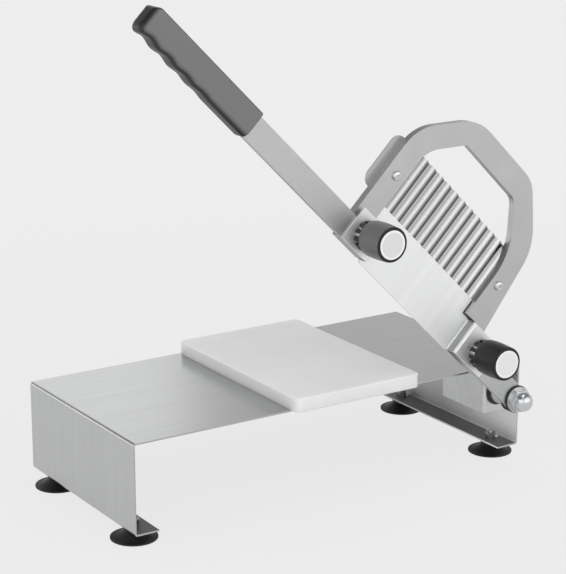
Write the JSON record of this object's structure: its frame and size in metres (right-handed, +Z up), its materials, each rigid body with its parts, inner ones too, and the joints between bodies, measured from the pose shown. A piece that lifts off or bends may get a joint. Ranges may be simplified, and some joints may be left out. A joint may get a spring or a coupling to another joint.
{
  "type": "hand lever potato slicer",
  "caption": "Hand-lever potato slicer: a crinkle blade in a bow frame comes down past a plastic board on a folded steel bench, with a screw-set slice plate and suction feet.",
  "frame": {"origin": "on the table, under the middle of the whole slicer's box as it rests with the lever at 45 degrees", "axes": "+X along the bench towards the pivot, +Y to the back (the lever swings in front of the bench), +Z up"},
  "size_m": [0.413, 0.2505, 0.4423],
  "materials": {
    "bench_steel": "satin brushed stainless sheet",
    "lever_steel": "matt blasted stainless bar",
    "plate_steel": "satin brushed stainless sheet",
    "blade_steel": "smooth rolled blade steel",
    "fastener_steel": "bright plated",
    "bush_bronze": "plain bronze",
    "board_plastic": "fine matt polyethylene",
    "grip_plastic": "moulded, semi-gloss",
    "knob_plastic": "moulded, satin",
    "disc_aluminium": "turned disc",
    "washer_nylon": "plain black nylon",
    "cup_rubber": "moulded rubber"
  },
  "bodies": {
    "bench": {"bench_sheet": "bench_steel", "cutting_board": "board_plastic", "board_screws": "fastener_steel", "foot_front_left": "cup_rubber", "foot_front_right": "cup_rubber", "foot_rear_left": "cup_rubber", "foot_rear_right": "cup_rubber", "foot_studs": "fastener_steel", "foot_nuts": "fastener_steel", "flange_rivets": "fastener_steel", "pivot_bracket": "bench_steel", "pivot_bolt": "fastener_steel", "spacer_washer": "washer_nylon", "pivot_spacer": "fastener_steel", "inner_friction_washer": "washer_nylon", "outer_friction_washer": "washer_nylon", "steel_washer": "fastener_steel", "dome_nut": "fastener_steel"},
    "lever": {"pivot_bar": "lever_steel", "pivot_bush": "bush_bronze", "handle_bar": "lever_steel", "grip": "grip_plastic", "bow_frame": "lever_steel", "wave_blade": "blade_steel", "blade_screws": "fastener_steel", "blade_nuts": "fastener_steel", "stud_inserts": "fastener_steel"},
    "slice_plate": {"thickness_plate": "plate_steel"},
    "upper_knob_set": {"upper_knob": "knob_plastic", "upper_knob_sleeve": "fastener_steel", "upper_knob_disc": "disc_aluminium", "upper_knob_stud": "fastener_steel", "upper_retaining_ring": "fastener_steel"},
    "lower_knob_set": {"lower_knob": "knob_plastic", "lower_knob_sleeve": "fastener_steel", "lower_knob_disc": "disc_aluminium", "lower_knob_stud": "fastener_steel", "lower_retaining_ring": "fastener_steel"}
  },
  "joints": [
    {"name": "lever_hinge", "type": "hinge", "parent": "bench", "child": "lever", "pos_m": [0.1735, -0.08505, 0.067], "axis": [0, 1, 0], "range_deg": [-50, 50]},
    {"name": "plate_slide", "type": "slide", "parent": "lever", "child": "slice_plate", "axis": [0, -1, 0], "range_m": [0, 0.01]},
    {"name": "upper_knob_turn", "type": "hinge", "parent": "slice_plate", "child": "upper_knob_set", "pos_m": [0.00761, -0.08917, 0.23996], "axis": [0, -1, 0], "range_deg": [0, 2880]},
    {"name": "lower_knob_turn", "type": "hinge", "parent": "slice_plate", "child": "lower_knob_set", "pos_m": [0.13047, -0.08917, 0.11711], "axis": [0, -1, 0], "range_deg": [0, 2880]}
  ],
  "couplings": [
    {"joint": "upper_knob_turn", "follows": "plate_slide", "rad_per_m": 5026.5},
    {"joint": "lower_knob_turn", "follows": "plate_slide", "rad_per_m": 5026.5}
  ]
}
